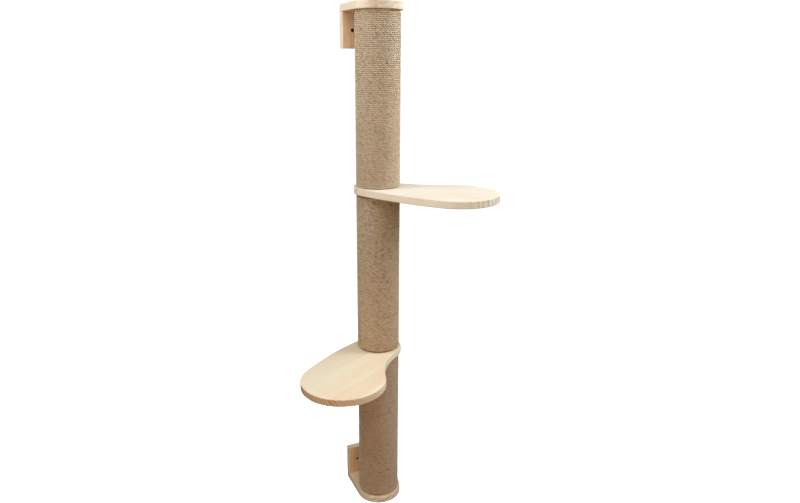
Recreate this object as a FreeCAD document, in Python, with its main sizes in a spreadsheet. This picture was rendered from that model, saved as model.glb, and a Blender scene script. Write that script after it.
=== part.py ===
"""A cat's climbing and scratching post that hangs on a wall.

Three rope-wound post sections stand in line with two pear-shaped pine shelves clamped between
them. A pine bracket at each end, an end plate with a wall plate screwed to it, holds the post off
the wall. Each shelf turns about the stud that joins the sections above and below it.

Frame: the wall is the plane Y = 0 and the room is on its -Y side, X points to the right for someone
who faces the wall, Z points up. The origin is the centre of the four wall-screw holes.
"""
import FreeCAD
import Part
import math
import os
import Sketcher
from FreeCAD import Placement, Rotation, Vector

# Driving dimensions in millimetres, angles in degrees
SIZES = (
    # Post sections
    ("section_length", 410.0),
    ("axis_to_wall", 94.0),
    ("tube_diameter", 100.0),
    ("tube_wall", 5.0),
    ("plug_length", 45.0),
    ("glue_gap", 0.1),
    # Rope winding of one section: several cords side by side, each with its own loops
    ("cord_diameter", 3.8),
    ("cord_loops", 24),
    ("cord_count", 4),
    ("winding_end_gap", 0.6),
    # Shelves
    ("shelf_thick", 18.0),
    ("collar_radius", 60.0),
    ("shelf_reach", 204.5),
    ("shelf_end_radius", 101.5),
    ("shelf_neck_radius", 208.0),
    ("shelf_flank_radius", 720.0),
    ("upper_shelf_angle", 42.3),
    ("lower_shelf_angle", -46.5),
    ("shelf_bore_gap", 0.08),
    # Brackets
    ("end_plate_width", 120.0),
    ("end_plate_thick", 18.0),
    ("wall_plate_height", 84.0),
    ("wall_plate_thick", 18.0),
    ("wall_hole_diameter", 5.5),
    ("wall_hole_sink", 12.0),
    ("wall_hole_spacing", 68.0),
    ("edge_radius", 2.0),
    # Studs, inserts and bolts through the post's axis
    ("stud_diameter", 10.0),
    ("stud_grip", 22.0),
    ("thread_gap", 0.05),
    ("insert_diameter", 16.0),
    ("insert_length", 25.0),
    ("bolt_head_diameter", 16.0),
    ("bolt_head_height", 7.0),
    ("bolt_socket", 7.0),
    ("bolt_socket_depth", 3.5),
    ("bolt_hole_gap", 0.5),
    ("bolt_head_sunk", 1.0),
    ("washer_diameter", 24.0),
    ("washer_thick", 2.0),
    ("counterbore_gap", 0.5),
    # Carcass screws between end plate and wall plate
    ("screw_diameter", 7.0),
    ("screw_length", 50.0),
    ("screw_head_diameter", 10.0),
    ("screw_head_sunk", 0.3),
    ("screw_socket", 4.0),
    ("screw_socket_depth", 3.0),
    ("screw_tip", 3.0),
    ("screw_hole_gap", 0.05),
    ("screw_spacing", 40.0),
)
COUNTERSINK_ANGLE = 90.0
TURNED_OVER = Rotation(Vector(0, 1, 0), 180)
UPRIGHT = Rotation()
POINTS_PER_TURN = 48
LEAST_CORD_GAP = 0.4

doc = FreeCAD.newDocument("WallPost")
sheet = doc.addObject("Spreadsheet::Sheet", "Sizes")
for row, (alias, value) in enumerate(SIZES, start=1):
    sheet.set(f"A{row}", alias)
    sheet.set(f"B{row}", str(value))
    sheet.setAlias(f"B{row}", alias)
doc.recompute()

# Expressions that several pieces share
HALF_POST = "(1.5 * Sizes.section_length + Sizes.shelf_thick)"
HALF_SECTION = "(Sizes.section_length / 2)"
BORE = "(Sizes.tube_diameter / 2 - Sizes.tube_wall)"
STUD = "(Sizes.stud_diameter / 2)"
THREADED = f"({STUD} + Sizes.thread_gap)"
SUNK_STACK = "(Sizes.bolt_head_sunk + Sizes.bolt_head_height + Sizes.washer_thick)"
SECTIONS = {
    "upper": f"{HALF_POST} - Sizes.section_length",
    "middle": f"-{HALF_SECTION}",
    "lower": f"-{HALF_POST}",
}
SHELVES = {
    "upper": (HALF_SECTION, "Sizes.upper_shelf_angle"),
    "lower": (f"-{HALF_SECTION} - Sizes.shelf_thick", "Sizes.lower_shelf_angle"),
}
BRACKETS = {"top": False, "bottom": True}


def measure(expression):
    """The value of an expression on the sheet's sizes."""
    return float(sheet.evalExpression(expression.replace("Sizes.", "")))


def bind(item, **expressions):
    """Ties an object's properties to expressions on the sheet."""
    for name, expression in expressions.items():
        item.setExpression(name.replace("__", "."), expression)


def place(item, x="0", y="0", z="0", turned_over=False):
    """Puts a piece at x, y, z, or at the point across the origin's Y axis, turned over."""
    item.Placement = Placement(Vector(), TURNED_OVER if turned_over else UPRIGHT)
    sign = "-" if turned_over else ""
    bind(item, Placement__Base__x=f"{sign}({x})", Placement__Base__y=y, Placement__Base__z=f"{sign}({z})")


def new_body(label):
    """An empty body that a sub-part is built in."""
    body = doc.addObject("PartDesign::Body", label)
    body.Label = label
    return body


def new_sketch(body, role, height="0"):
    """A sketch on one of the body's own origin planes, raised along the plane's normal."""
    sketch = body.newObject("Sketcher::SketchObject", f"{body.Name}Sketch")
    plane = next(item for item in body.Origin.OriginFeatures if item.Role == role)
    sketch.AttachmentSupport = [(plane, "")]
    sketch.MapMode = "FlatFace"
    bind(sketch, AttachmentOffset__Base__z=height)
    return sketch


def dimension(sketch, kind, *where, size):
    """Adds a dimension to a sketch and ties it to an expression."""
    index = sketch.addConstraint(Sketcher.Constraint(kind, *where, measure(size)))
    name = f"size{index}"
    sketch.renameConstraint(index, name)
    bind(sketch, **{f"Constraints__{name}": size})


def fix_point(sketch, item, end, x, y):
    """Holds one end of a sketch line at coordinates given as expressions."""
    for axis, kind, size in ((-2, "DistanceX", x), (-1, "DistanceY", y)):
        value = measure(size)
        if value == 0:
            sketch.addConstraint(Sketcher.Constraint("PointOnObject", item, end, axis))
        elif value > 0:
            dimension(sketch, kind, -1, 1, item, end, size=size)
        else:
            dimension(sketch, kind, item, end, -1, 1, size=f"-({size})")


def draw_polygon(sketch, corners):
    """Draws a closed outline of straight lines through corners given as expressions."""
    points = [Vector(measure(x), measure(y), 0) for x, y in corners]
    lines = [sketch.addGeometry(Part.LineSegment(a, b)) for a, b in zip(points, points[1:] + points[:1])]
    for line, following in zip(lines, lines[1:] + lines[:1]):
        sketch.addConstraint(Sketcher.Constraint("Coincident", line, 2, following, 1))
    for line, (x, y) in zip(lines, corners):
        fix_point(sketch, line, 1, x, y)


def draw_circles(sketch, places, radius):
    """Draws equal circles at centres given as expressions."""
    for x, y in places:
        centre = Vector(measure(x), measure(y), 0)
        circle = sketch.addGeometry(Part.Circle(centre, Vector(0, 0, 1), measure(radius)))
        fix_point(sketch, circle, 3, x, y)
        dimension(sketch, "Radius", circle, size=radius)


def turn_profile(label, profile):
    """A round piece turned from a profile of radius and height expressions."""
    body = new_body(label)
    sketch = new_sketch(body, "XZ_Plane")
    draw_polygon(sketch, profile)
    turning = body.newObject("PartDesign::Revolution", f"{label}Turning")
    turning.Profile = sketch
    turning.ReferenceAxis = (sketch, ["V_Axis"])
    turning.Angle = 360
    doc.recompute()
    return body


def pad(body, sketch, thickness):
    """Thickens a sketch into a board along the sketch's normal."""
    board = body.newObject("PartDesign::Pad", f"{body.Name}Board")
    board.Profile = sketch
    bind(board, Length=thickness)
    doc.recompute()
    return board


def ease_rims(body, board, normals):
    """Rounds the edges round the flat faces that look along the given directions."""
    flat = [
        f"Face{number}"
        for number, face in enumerate(board.Shape.Faces, start=1)
        if isinstance(face.Surface, Part.Plane)
        and any(face.normalAt(0, 0).isEqual(normal, 1e-6) for normal in normals)
    ]
    rounding = body.newObject("PartDesign::Fillet", f"{body.Name}Easing")
    rounding.Base = (board, flat)
    bind(rounding, Radius="Sizes.edge_radius")
    doc.recompute()


def cut(body, feature, sketch, **settings):
    """Sets up a cutting feature and makes sure that it takes material away."""
    before = body.Shape.Volume
    feature.Profile = sketch
    for name, value in settings.items():
        if isinstance(value, str) and "Sizes." in value:
            bind(feature, **{name: value})
        else:
            setattr(feature, name, value)
    doc.recompute()
    if not body.Shape.Volume < before - 1:
        raise RuntimeError(f"{feature.Label} cuts nothing")


def drill(body, role, height, places, diameter, **head):
    """Drills holes from a plane into the body, with the given countersink or counterbore."""
    sketch = new_sketch(body, role, height)
    draw_circles(sketch, places, f"({diameter}) / 2")
    doc.recompute()
    hole = body.newObject("PartDesign::Hole", f"{body.Name}Holes")
    cut(body, hole, sketch, Diameter=diameter, DepthType="ThroughAll", **head)


def sink_socket(body, height, across_flats, depth):
    """Sinks a hexagon socket into the top of a screw's head."""
    corner = f"({across_flats} / sqrt(3))"
    flat = f"({across_flats} / 2)"
    sketch = new_sketch(body, "XY_Plane", height)
    draw_polygon(sketch, (
        (corner, "0"),
        (f"{corner} / 2", flat),
        (f"-{corner} / 2", flat),
        (f"-{corner}", "0"),
        (f"-{corner} / 2", f"-{flat}"),
        (f"{corner} / 2", f"-{flat}"),
    ))
    cut(body, body.newObject("PartDesign::Pocket", f"{body.Name}Socket"), sketch, Length=depth)


def group(label, pieces):
    """One node that holds several separate solids."""
    node = doc.addObject("Part::Compound", label)
    node.Label = label
    node.Links = pieces
    return node


# The shelf: a collar under the post, a wide round end, a hollow neck and a gently bowed flank
def shelf_arcs():
    """Collar, neck, end and flank arcs of the outline, each tangent to the next."""
    collar = measure("Sizes.collar_radius")
    end = measure("Sizes.shelf_end_radius")
    reach = measure("Sizes.shelf_reach")
    neck = measure("Sizes.shelf_neck_radius")
    flank = measure("Sizes.shelf_flank_radius")

    def centre_at(from_collar, from_end):
        along = (from_collar ** 2 - from_end ** 2 + reach ** 2) / (2 * reach)
        return Vector(along, math.sqrt(from_collar ** 2 - along ** 2), 0)

    def angle(way):
        return math.atan2(way.y, way.x) % (2 * math.pi)

    def arc(middle, radius, start, finish):
        sweep = (finish - start) % (2 * math.pi)
        circle = Part.Circle(middle, Vector(0, 0, 1), radius)
        return Part.ArcOfCircle(circle, start, start + sweep)

    end_centre = Vector(reach, 0, 0)
    neck_centre = centre_at(collar + neck, end + neck)
    flank_centre = centre_at(flank - collar, flank - end)
    neck_to_end = end_centre - neck_centre
    flank_to_end = end_centre - flank_centre
    return (
        arc(Vector(), collar, angle(neck_centre), angle(-flank_centre)),
        arc(neck_centre, neck, angle(-neck_centre), angle(neck_to_end)),
        arc(end_centre, end, angle(flank_to_end), angle(-neck_to_end)),
        arc(flank_centre, flank, angle(-flank_centre), angle(flank_to_end)),
    )


def make_shelf(name, height, turn):
    """A pear-shaped shelf board with a bore for its stud, turned about the post's axis."""
    body = new_body(f"{name}_shelf")
    sketch = new_sketch(body, "XY_Plane")
    collar, neck, end, flank = [sketch.addGeometry(arc) for arc in shelf_arcs()]
    sketch.addConstraint(Sketcher.Constraint("Coincident", collar, 3, -1, 1))
    sketch.addConstraint(Sketcher.Constraint("PointOnObject", end, 3, -1))
    for first, first_end, second, second_end in (
        (collar, 2, flank, 1),
        (flank, 2, end, 1),
        (end, 2, neck, 2),
        (neck, 1, collar, 1),
    ):
        sketch.addConstraint(Sketcher.Constraint("Tangent", first, first_end, second, second_end))
    dimension(sketch, "DistanceX", -1, 1, end, 3, size="Sizes.shelf_reach")
    dimension(sketch, "Radius", collar, size="Sizes.collar_radius")
    dimension(sketch, "Radius", neck, size="Sizes.shelf_neck_radius")
    dimension(sketch, "Radius", end, size="Sizes.shelf_end_radius")
    dimension(sketch, "Radius", flank, size="Sizes.shelf_flank_radius")
    board = pad(body, sketch, "Sizes.shelf_thick")
    ease_rims(body, board, (Vector(0, 0, 1), Vector(0, 0, -1)))
    bore = new_sketch(body, "XY_Plane", "Sizes.shelf_thick")
    draw_circles(bore, [("0", "0")], f"{STUD} + Sizes.shelf_bore_gap")
    pocket = body.newObject("PartDesign::Pocket", f"{body.Name}Bore")
    cut(body, pocket, bore, Type="ThroughAll")
    body.Placement = Placement(Vector(), Rotation(Vector(0, 0, 1), measure(turn) - 90))
    bind(
        body,
        Placement__Base__y="-Sizes.axis_to_wall",
        Placement__Base__z=height,
        Placement__Rotation__Angle=f"{turn} - 90",
    )
    return body


# Brackets, drawn with the post below and turned over for the bottom of the post
def make_end_plate(name, turned_over):
    """The D-shaped board that closes the post and reaches back to the wall."""
    half = measure("Sizes.end_plate_width") / 2
    depth = measure("Sizes.axis_to_wall")
    body = new_body(f"{name}_end_plate")
    sketch = new_sketch(body, "XY_Plane")
    back = sketch.addGeometry(Part.LineSegment(Vector(-half, 0, 0), Vector(half, 0, 0)))
    right = sketch.addGeometry(Part.LineSegment(Vector(half, 0, 0), Vector(half, -depth, 0)))
    circle = Part.Circle(Vector(0, -depth, 0), Vector(0, 0, 1), half)
    front = sketch.addGeometry(Part.ArcOfCircle(circle, math.pi, 2 * math.pi))
    left = sketch.addGeometry(Part.LineSegment(Vector(-half, -depth, 0), Vector(-half, 0, 0)))
    for kind, where in (
        ("Coincident", (back, 2, right, 1)),
        ("Coincident", (left, 2, back, 1)),
        ("Tangent", (right, 2, front, 2)),
        ("Tangent", (front, 1, left, 1)),
        ("Horizontal", (back,)),
        ("Vertical", (right,)),
        ("Vertical", (left,)),
        ("PointOnObject", (back, 1, -1)),
        ("PointOnObject", (front, 3, -2)),
    ):
        sketch.addConstraint(Sketcher.Constraint(kind, *where))
    dimension(sketch, "DistanceX", back, 1, back, 2, size="Sizes.end_plate_width")
    dimension(sketch, "DistanceY", front, 3, -1, 1, size="Sizes.axis_to_wall")
    board = pad(body, sketch, "Sizes.end_plate_thick")
    ease_rims(body, board, (Vector(0, 0, 1), Vector(0, 0, -1)))
    drill(
        body, "XY_Plane", "Sizes.end_plate_thick", [("0", "-Sizes.axis_to_wall")],
        "Sizes.stud_diameter + 2 * Sizes.bolt_hole_gap",
        HoleCutType="Counterbore",
        HoleCutDiameter="Sizes.washer_diameter + 2 * Sizes.counterbore_gap",
        HoleCutDepth=SUNK_STACK,
    )
    drill(
        body, "XY_Plane", "Sizes.end_plate_thick",
        [(f"{side}Sizes.screw_spacing / 2", "-Sizes.wall_plate_thick / 2") for side in ("-", "")],
        "Sizes.screw_diameter + 2 * Sizes.screw_hole_gap",
        HoleCutType="Countersink",
        HoleCutDiameter="Sizes.screw_head_diameter + 2 * Sizes.screw_head_sunk + 2 * Sizes.screw_hole_gap",
        HoleCutCountersinkAngle=COUNTERSINK_ANGLE,
    )
    place(body, z=HALF_POST, turned_over=turned_over)
    return body


def make_wall_plate(name, turned_over):
    """The upright board against the wall, with two countersunk holes for wall screws."""
    half = "Sizes.end_plate_width / 2"
    body = new_body(f"{name}_wall_plate")
    sketch = new_sketch(body, "XZ_Plane")
    draw_polygon(sketch, (
        (f"-{half}", "0"),
        (f"-{half}", "-Sizes.wall_plate_height"),
        (half, "-Sizes.wall_plate_height"),
        (half, "0"),
    ))
    board = pad(body, sketch, "Sizes.wall_plate_thick")
    ease_rims(body, board, (Vector(0, -1, 0),))
    drill(
        body, "XZ_Plane", "Sizes.wall_plate_thick",
        [(f"{side}Sizes.wall_hole_spacing / 2", "-Sizes.wall_plate_height / 2") for side in ("-", "")],
        "Sizes.wall_hole_diameter",
        HoleCutType="Countersink",
        HoleCutDiameter="Sizes.wall_hole_sink",
        HoleCutCountersinkAngle=COUNTERSINK_ANGLE,
    )
    pilot_depth = "Sizes.screw_length + Sizes.screw_head_sunk - Sizes.end_plate_thick"
    pilots = new_sketch(body, "XY_Plane")
    draw_circles(
        pilots,
        [(f"{side}Sizes.screw_spacing / 2", "-Sizes.wall_plate_thick / 2") for side in ("-", "")],
        "Sizes.screw_diameter / 2 + Sizes.screw_hole_gap",
    )
    pocket = body.newObject("PartDesign::Pocket", f"{body.Name}Pilots")
    cut(body, pocket, pilots, Length=pilot_depth)
    place(body, z=HALF_POST, turned_over=turned_over)
    return body


def make_end_bolt(name, turned_over):
    """The low-head bolt through an end plate into the post, with a hexagon socket."""
    shank = f"({STUD} - Sizes.thread_gap)"
    head = "Sizes.bolt_head_diameter / 2"
    under_head = f"(Sizes.end_plate_thick - {SUNK_STACK} + Sizes.washer_thick + Sizes.stud_grip)"
    top = f"({under_head} + Sizes.bolt_head_height)"
    body = turn_profile(f"{name}_end_bolt", (
        ("0", "0"), (shank, "0"), (shank, under_head), (head, under_head), (head, top), ("0", top),
    ))
    sink_socket(body, top, "Sizes.bolt_socket", "Sizes.bolt_socket_depth")
    place(body, y="-Sizes.axis_to_wall", z=f"{HALF_POST} - Sizes.stud_grip", turned_over=turned_over)
    return body


def make_end_washer(name, turned_over):
    """The wide washer under an end bolt's head, at the bottom of the counterbore."""
    inner = f"{STUD} + Sizes.bolt_hole_gap"
    outer = "Sizes.washer_diameter / 2"
    body = turn_profile(f"{name}_end_washer", (
        (inner, "0"), (outer, "0"), (outer, "Sizes.washer_thick"), (inner, "Sizes.washer_thick"),
    ))
    floor = f"{HALF_POST} + Sizes.end_plate_thick - {SUNK_STACK}"
    place(body, y="-Sizes.axis_to_wall", z=floor, turned_over=turned_over)
    return body


def make_bracket_screws(name, turned_over):
    """Two countersunk carcass screws that hold an end plate to its wall plate."""
    shank = "(Sizes.screw_diameter / 2)"
    tip = f"({shank} - Sizes.screw_tip / 2)"
    head = "(Sizes.screw_head_diameter / 2)"
    neck = f"(Sizes.screw_length - {head} + {shank})"
    screws = []
    for side in ("-", ""):
        screw = turn_profile(f"{name}_bracket_screw", (
            ("0", "0"), (tip, "0"), (shank, "Sizes.screw_tip"), (shank, neck),
            (head, "Sizes.screw_length"), ("0", "Sizes.screw_length"),
        ))
        sink_socket(screw, "Sizes.screw_length", "Sizes.screw_socket", "Sizes.screw_socket_depth")
        place(
            screw,
            x=f"{side}Sizes.screw_spacing / 2",
            y="-Sizes.wall_plate_thick / 2",
            z=f"{HALF_POST} + Sizes.end_plate_thick - Sizes.screw_head_sunk - Sizes.screw_length",
            turned_over=turned_over,
        )
        screws.append(screw)
    return group(f"{name}_bracket_screws", screws)


# Post sections
def make_tube(name, base):
    """The paperboard tube at the core of a section."""
    outer = "Sizes.tube_diameter / 2"
    body = turn_profile(f"{name}_core_tube", (
        (BORE, "0"), (outer, "0"), (outer, "Sizes.section_length"), (BORE, "Sizes.section_length"),
    ))
    place(body, y="-Sizes.axis_to_wall", z=base)
    return body


def make_plug(label, end, turned_over):
    """A turned wooden plug in one end of a tube, bored for its insert and for the stud behind it."""
    outer = f"({BORE} - Sizes.glue_gap)"
    seat = "(Sizes.insert_diameter / 2 + Sizes.thread_gap)"
    body = turn_profile(label, (
        (seat, "0"), (outer, "0"), (outer, "Sizes.plug_length"), (THREADED, "Sizes.plug_length"),
        (THREADED, "Sizes.insert_length"), (seat, "Sizes.insert_length"),
    ))
    place(body, y="-Sizes.axis_to_wall", z=end, turned_over=turned_over)
    return body


def make_insert(end, turned_over):
    """A threaded insert, flush with the end of its plug."""
    outer = "Sizes.insert_diameter / 2"
    body = turn_profile("threaded_insert", (
        (THREADED, "0"), (outer, "0"), (outer, "Sizes.insert_length"), (THREADED, "Sizes.insert_length"),
    ))
    place(body, y="-Sizes.axis_to_wall", z=end, turned_over=turned_over)
    return body


def make_stud(name, height):
    """The threaded stud that joins two sections through the shelf between them."""
    shank = f"({STUD} - Sizes.thread_gap)"
    length = "(Sizes.shelf_thick + 2 * Sizes.stud_grip)"
    body = turn_profile(f"{name}_joining_stud", (
        ("0", "0"), (shank, "0"), (shank, length), ("0", length),
    ))
    place(body, y="-Sizes.axis_to_wall", z=f"{height} - Sizes.stud_grip")
    return body


# The winding: cords side by side, each one unbroken tube that climbs the section in equal loops
class CordHelix:
    """The middle line of the first cord of a winding, from one end of a section to the other."""

    def __init__(self):
        self.diameter = measure("Sizes.cord_diameter")
        self.loops = round(measure("Sizes.cord_loops"))
        self.abreast = round(measure("Sizes.cord_count"))
        self.radius = measure("Sizes.tube_diameter / 2 + Sizes.glue_gap") + self.diameter / 2
        self.start = measure("Sizes.winding_end_gap") + self.diameter / 2
        self.climb = (measure("Sizes.section_length") - 2 * self.start) / self.loops

    def point(self, loop, cord=0):
        """The point reached after a number of loops, on one of the cords."""
        angle = 2 * math.pi * (loop + cord / self.abreast)
        height = self.start + self.climb * loop
        return Vector(self.radius * math.cos(angle), self.radius * math.sin(angle), height)

    def way(self, loop):
        """The direction of the first cord there, of length one."""
        angle = 2 * math.pi * loop
        round_post = 2 * math.pi * self.radius
        along = Vector(-round_post * math.sin(angle), round_post * math.cos(angle), self.climb)
        return along.normalize()

    def samples(self, cord):
        """Points along one cord, evenly spaced."""
        steps = self.loops * POINTS_PER_TURN
        return [self.point(step / POINTS_PER_TURN, cord) for step in range(steps + 1)]

    def gap_to_itself(self):
        """The least gap between two loops of one cord."""
        points = self.samples(0)
        half = POINTS_PER_TURN // 2
        return min(
            near.distanceToPoint(far)
            for index, near in enumerate(points)
            for far in points[index + half:index + 3 * half]
        ) - self.diameter

    def gap_to_next(self):
        """The least gap between two cords that lie side by side."""
        following = self.samples(1)
        reach = POINTS_PER_TURN
        return min(
            near.distanceToPoint(far)
            for index, near in enumerate(self.samples(0))
            for far in following[max(0, index - reach):index + reach]
        ) - self.diameter


def tangent_arc(start, corner, finish):
    """The arc from start to finish that touches the two equal legs of a corner."""
    middle = (start + finish) * 0.5
    half_chord = start.distanceToPoint(finish) / 2
    half_turn = math.acos(half_chord / start.distanceToPoint(corner))
    rise = (corner - middle).normalize() * (half_chord * math.tan(half_turn / 2))
    return Part.Arc(start, middle + rise, finish).toShape()


def biarc(start, start_way, finish, finish_way):
    """Two arcs that leave start one way, meet smoothly and reach finish the other way."""
    chord = finish - start
    ways = start_way + finish_way
    spread = ways.dot(ways) - 4
    lean = chord.dot(ways)
    leg = (lean - math.sqrt(lean ** 2 - spread * chord.dot(chord))) / spread
    first = start + start_way * leg
    second = finish - finish_way * leg
    joint = (first + second) * 0.5
    return [tangent_arc(start, first, joint), tangent_arc(joint, second, finish)]


def wound_cord(helix):
    """One cord as a solid: a straight end, biarcs of half a turn each, and a straight end."""
    halves = [half / 2 for half in range(2 * helix.loops + 1)]
    first, last = helix.point(halves[0]), helix.point(halves[-1])
    lead_in = first - helix.way(halves[0]) * helix.diameter
    lead_out = last + helix.way(halves[-1]) * helix.diameter
    edges = [Part.LineSegment(lead_in, first).toShape()]
    for near, far in zip(halves, halves[1:]):
        edges += biarc(helix.point(near), helix.way(near), helix.point(far), helix.way(far))
    edges.append(Part.LineSegment(last, lead_out).toShape())
    path = Part.Wire(edges)
    section = Part.Wire(Part.makeCircle(helix.diameter / 2, lead_in, helix.way(halves[0])))
    cord = path.makePipeShell([section], True, False)
    expected = math.pi * helix.diameter ** 2 / 4 * path.Length
    if abs(cord.Volume / expected - 1) > 0.01:
        raise RuntimeError(f"the cord holds {cord.Volume:.0f} mm3, not {expected:.0f} mm3")
    return cord


def make_winding(name, base, cords):
    """The rope winding round one section: a group of cords side by side."""
    winding = doc.addObject("Part::Feature", f"{name}_rope_winding")
    winding.Label = f"{name}_rope_winding"
    winding.Shape = Part.Compound(cords)
    place(winding, y="-Sizes.axis_to_wall", z=base)
    return winding


nodes = []
for bracket, turned_over in BRACKETS.items():
    for make in (make_end_plate, make_wall_plate, make_end_bolt, make_end_washer, make_bracket_screws):
        nodes.append(make(bracket, turned_over))

for shelf, (height, turn) in SHELVES.items():
    nodes.append(make_shelf(shelf, height, turn))
    nodes.append(make_stud(shelf, height))

helix = CordHelix()
print(f"least gap of a cord to itself {helix.gap_to_itself():.2f} mm")
print(f"least gap of a cord to the next {helix.gap_to_next():.2f} mm")
if helix.gap_to_itself() <= LEAST_CORD_GAP:
    raise RuntimeError("the loops of a cord run into each other")
cord = wound_cord(helix)
cords = []
for number in range(helix.abreast):
    turned = cord.copy()
    turned.rotate(Vector(), Vector(0, 0, 1), 360 * number / helix.abreast)
    cords.append(turned)

inserts = []
for section, base in SECTIONS.items():
    nodes.append(make_tube(section, base))
    nodes.append(make_winding(section, base, cords))
    nodes.append(make_plug(f"{section}_bottom_plug", base, False))
    inserts.append(make_insert(base, False))
    top = f"-({base} + Sizes.section_length)"
    nodes.append(make_plug(f"{section}_top_plug", top, True))
    inserts.append(make_insert(top, True))
nodes.append(group("threaded_inserts", inserts))

doc.recompute()
for item in doc.Objects:
    if "Invalid" in item.State or "Error" in item.State:
        raise RuntimeError(f"{item.Label} failed: {item.State}")
for node in nodes:
    if node.Shape.isNull() or not node.Shape.isValid():
        raise RuntimeError(f"{node.Label} has no valid shape")

os.makedirs("parts", exist_ok=True)
for node in nodes:
    node.Shape.exportStep(f"parts/{node.Label}.step")
    box = node.Shape.BoundBox
    print(
        f"{node.Label}: {len(node.Shape.Solids)} solids, {node.Shape.Volume / 1000:.1f} cm3,"
        f" X {box.XMin:.1f} {box.XMax:.1f} Y {box.YMin:.1f} {box.YMax:.1f} Z {box.ZMin:.1f} {box.ZMax:.1f}"
    )
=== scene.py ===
"""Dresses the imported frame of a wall-mounted scratching post: rope, pine, steel, studio and camera."""

import logging
import math
from collections.abc import Iterator, Mapping, Sequence
from dataclasses import dataclass, field, replace
from enum import Enum
from typing import Any, Union

import bpy
import numpy as np
from mathutils import Euler, Matrix, Vector


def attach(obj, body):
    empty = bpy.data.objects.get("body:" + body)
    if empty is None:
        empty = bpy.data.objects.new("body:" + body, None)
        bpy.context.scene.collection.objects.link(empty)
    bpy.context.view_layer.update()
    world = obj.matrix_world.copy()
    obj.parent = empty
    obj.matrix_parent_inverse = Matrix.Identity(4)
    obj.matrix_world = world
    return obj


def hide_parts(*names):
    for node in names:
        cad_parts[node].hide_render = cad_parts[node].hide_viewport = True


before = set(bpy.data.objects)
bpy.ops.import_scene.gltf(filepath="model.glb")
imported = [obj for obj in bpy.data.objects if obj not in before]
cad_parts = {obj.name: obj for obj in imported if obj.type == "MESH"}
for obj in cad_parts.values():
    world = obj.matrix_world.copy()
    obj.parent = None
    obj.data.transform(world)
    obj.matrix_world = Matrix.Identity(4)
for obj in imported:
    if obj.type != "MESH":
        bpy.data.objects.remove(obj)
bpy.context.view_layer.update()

log = logging.getLogger("scratching_post")

POST_AXIS = Vector((0.0, -0.094, 0.0))
UP = Vector((0.0, 0.0, 1.0))
SIDEWAYS = Vector((1.0, 0.0, 0.0))
BACKWARDS = Vector((0.0, 1.0, 0.0))
IMAGE_WIDTH = 800

Colour = tuple[float, float, float, float]


def tint(red: int, green: int, blue: int) -> Colour:
    """Turns a colour as seen on a screen into the linear one that the shaders work in.

    Args:
        red: Red from 0 to 255.
        green: Green from 0 to 255.
        blue: Blue from 0 to 255.

    Returns:
        The linear colour, opaque.
    """
    linear = [
        part / 12.92 if part <= 0.04045 else ((part + 0.055) / 1.055) ** 2.4
        for part in (red / 255, green / 255, blue / 255)
    ]
    return (*linear, 1.0)


class Field:
    """A value socket in a node graph. Arithmetic on it adds Math nodes to the graph."""

    def __init__(self, graph: "Graph", socket: bpy.types.NodeSocket) -> None:
        """Wraps an output socket of one of the graph's nodes."""
        self.graph = graph
        self.socket = socket

    def _math(self, operation: str, *terms: "Term") -> "Field":
        """Adds one Math node, with the terms in its sockets in order, and gives its result."""
        made = self.graph.node("ShaderNodeMath", {"operation": operation}, dict(enumerate(terms)))
        return Field(self.graph, made.outputs[0])

    def __add__(self, other: "Term") -> "Field":
        """Adds another value."""
        return self._math("ADD", self, other)

    def __radd__(self, other: "Term") -> "Field":
        """Adds this to a number."""
        return self._math("ADD", other, self)

    def __sub__(self, other: "Term") -> "Field":
        """Takes another value away."""
        return self._math("SUBTRACT", self, other)

    def __rsub__(self, other: "Term") -> "Field":
        """Takes this away from a number."""
        return self._math("SUBTRACT", other, self)

    def __mul__(self, other: "Term") -> "Field":
        """Multiplies by another value."""
        return self._math("MULTIPLY", self, other)

    def __rmul__(self, other: "Term") -> "Field":
        """Multiplies a number by this."""
        return self._math("MULTIPLY", other, self)

    def __truediv__(self, other: "Term") -> "Field":
        """Divides by another value."""
        return self._math("DIVIDE", self, other)

    def __rtruediv__(self, other: "Term") -> "Field":
        """Divides a number by this."""
        return self._math("DIVIDE", other, self)

    def __pow__(self, other: "Term") -> "Field":
        """Raises this to a power."""
        return self._math("POWER", self, other)

    def __abs__(self) -> "Field":
        """Drops the sign."""
        return self._math("ABSOLUTE", self)

    def floor(self) -> "Field":
        """Rounds down."""
        return self._math("FLOOR", self)

    def fraction(self) -> "Field":
        """Keeps what is left after rounding down."""
        return self._math("FRACT", self)

    def root(self) -> "Field":
        """Takes the square root."""
        return self._math("SQRT", self)

    def bearing(self, sideways: "Term") -> "Field":
        """Gives the angle of the point that is this far along Y and so far along X."""
        return self._math("ARCTAN2", self, sideways)

    def step(self, low: float, high: float) -> "Field":
        """Rises smoothly from 0 to 1 between two values.

        Args:
            low: Where it is 0.
            high: Where it is 1. It may be the lower of the two, and the step then falls.

        Returns:
            The smooth step.
        """
        made = self.graph.node(
            "ShaderNodeMapRange",
            {"interpolation_type": "SMOOTHSTEP"},
            {"Value": self, "From Min": low, "From Max": high},
        )
        return Field(self.graph, made.outputs["Result"])


Term = Union[Field, float]
Input = Union[Field, bpy.types.NodeSocket, float, Sequence[float]]


@dataclass(frozen=True)
class Waves:
    """How fine a noise is along three axes, with the number and the strength of its finer layers."""

    scale: tuple[float, float, float]
    detail: float = 2.0
    roughness: float = 0.5


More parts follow.
